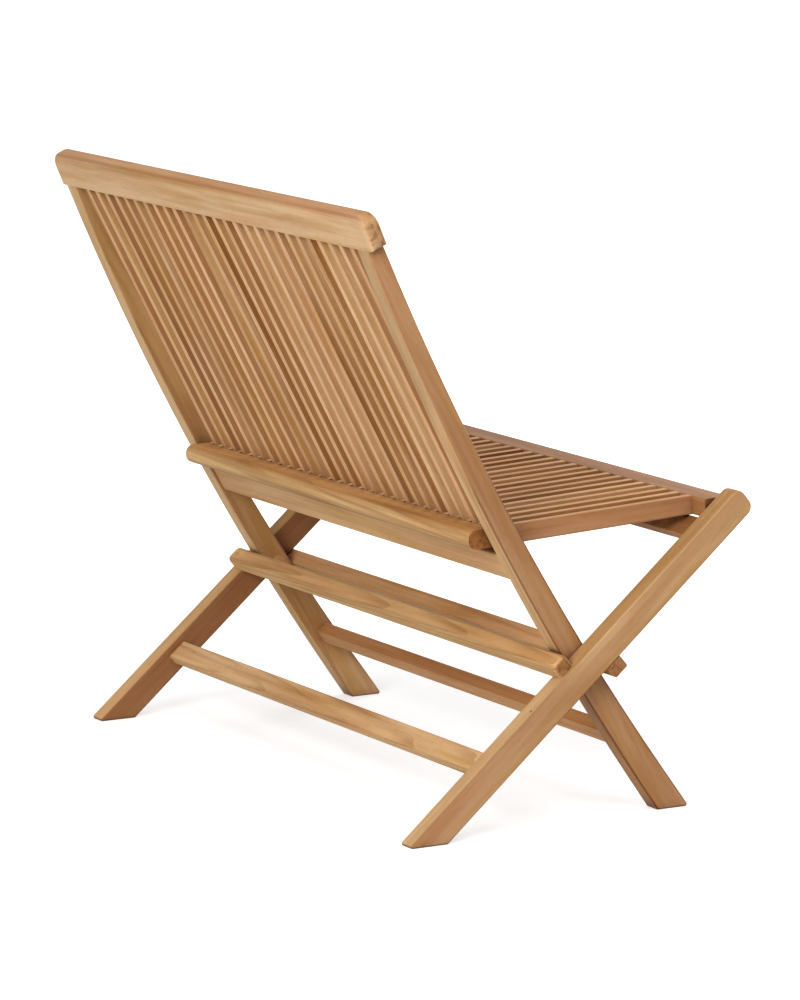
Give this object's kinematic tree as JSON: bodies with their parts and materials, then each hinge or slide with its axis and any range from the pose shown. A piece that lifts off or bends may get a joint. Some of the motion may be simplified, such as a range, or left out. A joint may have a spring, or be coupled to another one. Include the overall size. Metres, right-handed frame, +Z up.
{
  "type": "folding garden bench",
  "caption": "Slatted teak garden bench that folds flat: curved back posts cross the legs at a pivot, and the seat turns on the legs and slides behind the back slats.",
  "frame": {"origin": "on the ground, under the middle of the bench's outer box", "axes": "+Z up, +X to the sitter's left, -Y to the front, where the sitter faces"},
  "size_m": [0.91, 0.577, 0.8182],
  "materials": {
    "teak_frame": "planed and sanded, lightly oiled",
    "teak_slat": "planed and sanded, lightly oiled",
    "teak_plug": "sanded flush",
    "stainless_steel": "turned"
  },
  "bodies": {
    "back_frame": {"stile_left": "teak_frame", "stile_right": "teak_frame", "top_rail": "teak_frame", "lower_back_rail": "teak_frame", "front_stretcher": "teak_frame", "back_slat_01": "teak_slat", "back_slat_02": "teak_slat", "back_slat_03": "teak_slat", "back_slat_04": "teak_slat", "back_slat_05": "teak_slat", "back_slat_06": "teak_slat", "back_slat_07": "teak_slat", "back_slat_08": "teak_slat", "back_slat_09": "teak_slat", "back_slat_10": "teak_slat", "back_slat_11": "teak_slat", "back_slat_12": "teak_slat", "back_slat_13": "teak_slat", "back_slat_14": "teak_slat", "back_slat_15": "teak_slat", "back_slat_16": "teak_slat", "back_slat_17": "teak_slat", "back_slat_18": "teak_slat", "back_slat_19": "teak_slat", "back_slat_20": "teak_slat", "back_slat_21": "teak_slat", "back_slat_22": "teak_slat", "back_slat_23": "teak_slat", "back_slat_24": "teak_slat", "back_slat_25": "teak_slat", "back_slat_26": "teak_slat", "back_slat_27": "teak_slat", "pivot_plugs": "teak_plug"},
    "leg_frame": {"leg_left": "teak_frame", "leg_right": "teak_frame", "rear_stretcher": "teak_frame", "seat_bearer": "teak_frame", "rear_stop": "teak_frame", "rear_stop_screws": "stainless_steel", "rear_stop_plugs": "teak_plug", "front_stop": "teak_frame", "front_stop_screws": "stainless_steel", "front_stop_plugs": "teak_plug", "pivot_bolt_left": "stainless_steel", "pivot_bolt_right": "stainless_steel", "pivot_inserts": "stainless_steel", "pivot_washers": "stainless_steel"},
    "seat": {"seat_front_rail": "teak_frame", "seat_rear_rail": "teak_frame", "seat_side_left": "teak_frame", "seat_side_right": "teak_frame", "seat_slats": "teak_slat", "seat_pin_left": "stainless_steel", "seat_pin_right": "stainless_steel", "seat_washers": "stainless_steel"}
  },
  "joints": [
    {"name": "fold", "type": "hinge", "parent": "back_frame", "child": "leg_frame", "pos_m": [0, -0.04439, 0.20988], "axis": [-1, 0, 0], "range_deg": [0, 68]},
    {"name": "seat_fold", "type": "hinge", "parent": "leg_frame", "child": "seat", "pos_m": [0, -0.2557, 0.39777], "axis": [1, 0, 0], "range_deg": [0, 107.44]}
  ],
  "couplings": [
    {"joint": "seat_fold", "follows": "fold", "ratio": 1.58}
  ]
}
